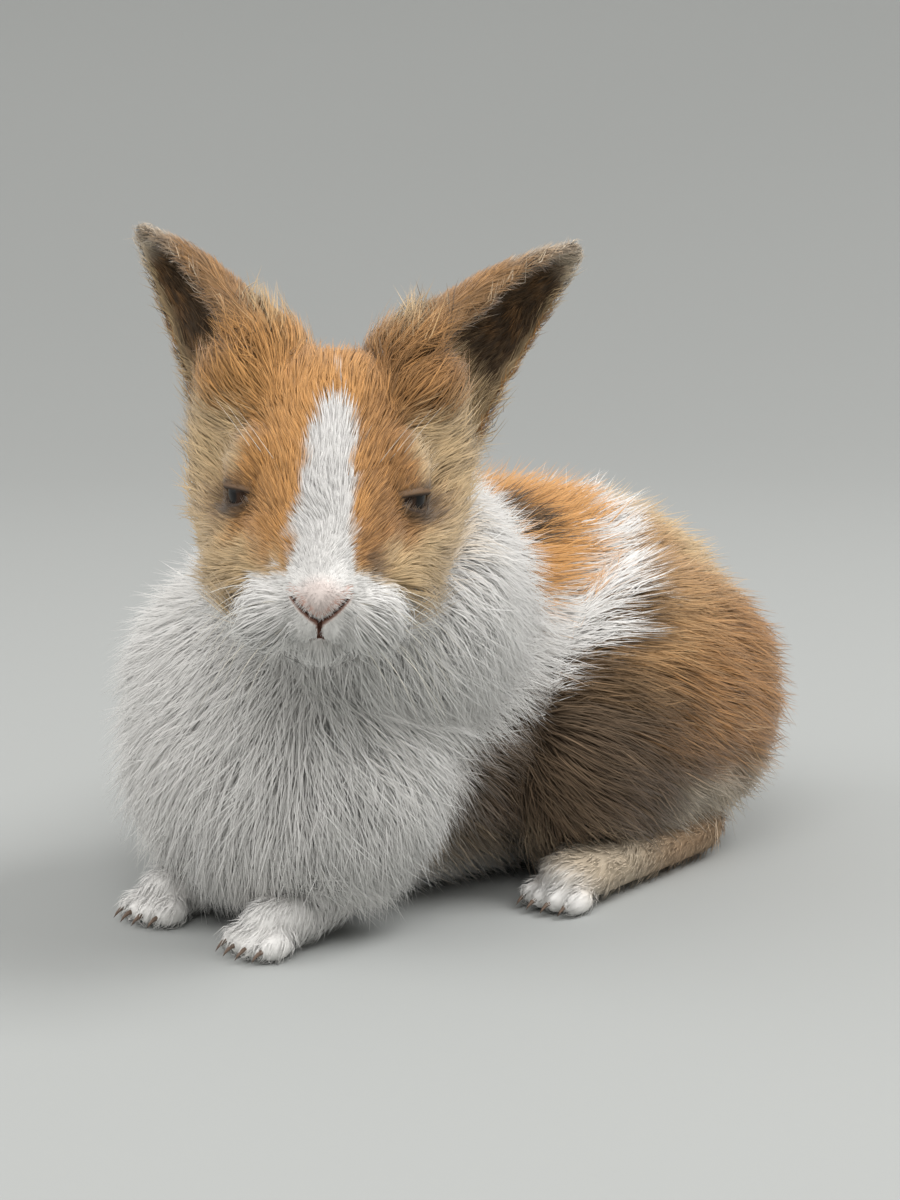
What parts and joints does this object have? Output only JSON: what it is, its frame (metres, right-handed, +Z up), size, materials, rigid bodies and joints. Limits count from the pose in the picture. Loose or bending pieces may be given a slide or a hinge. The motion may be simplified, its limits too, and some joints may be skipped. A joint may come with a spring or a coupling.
{
  "type": "lion lop rabbit, still life-size model",
  "caption": "Still life-size model of a young long-haired lop rabbit, crouched on its belly with the head raised and turned.",
  "frame": {"origin": "on the flat of the belly, on the ground that the rabbit lies on", "axes": "+Z up, +Y from the chest towards the tail, +X towards the rabbit's own left side"},
  "size_m": [0.1339, 0.2209, 0.1603],
  "materials": {
    "coat_tan": "soft orange-tan fur",
    "coat_white": "long white fur",
    "coat_brown": "long tan and sooty brown fur",
    "eye": "wet gloss, dark brown"
  },
  "bodies": {
    "root": {"torso": "coat_tan", "neck": "coat_white", "head": "coat_tan", "ear_left": "coat_tan", "ear_right": "coat_tan", "eye_left": "eye", "eye_right": "eye", "foreleg_left": "coat_white", "foreleg_right": "coat_white", "hindleg_left": "coat_brown", "hindleg_right": "coat_brown", "tail": "coat_brown"}
  },
  "joints": []
}
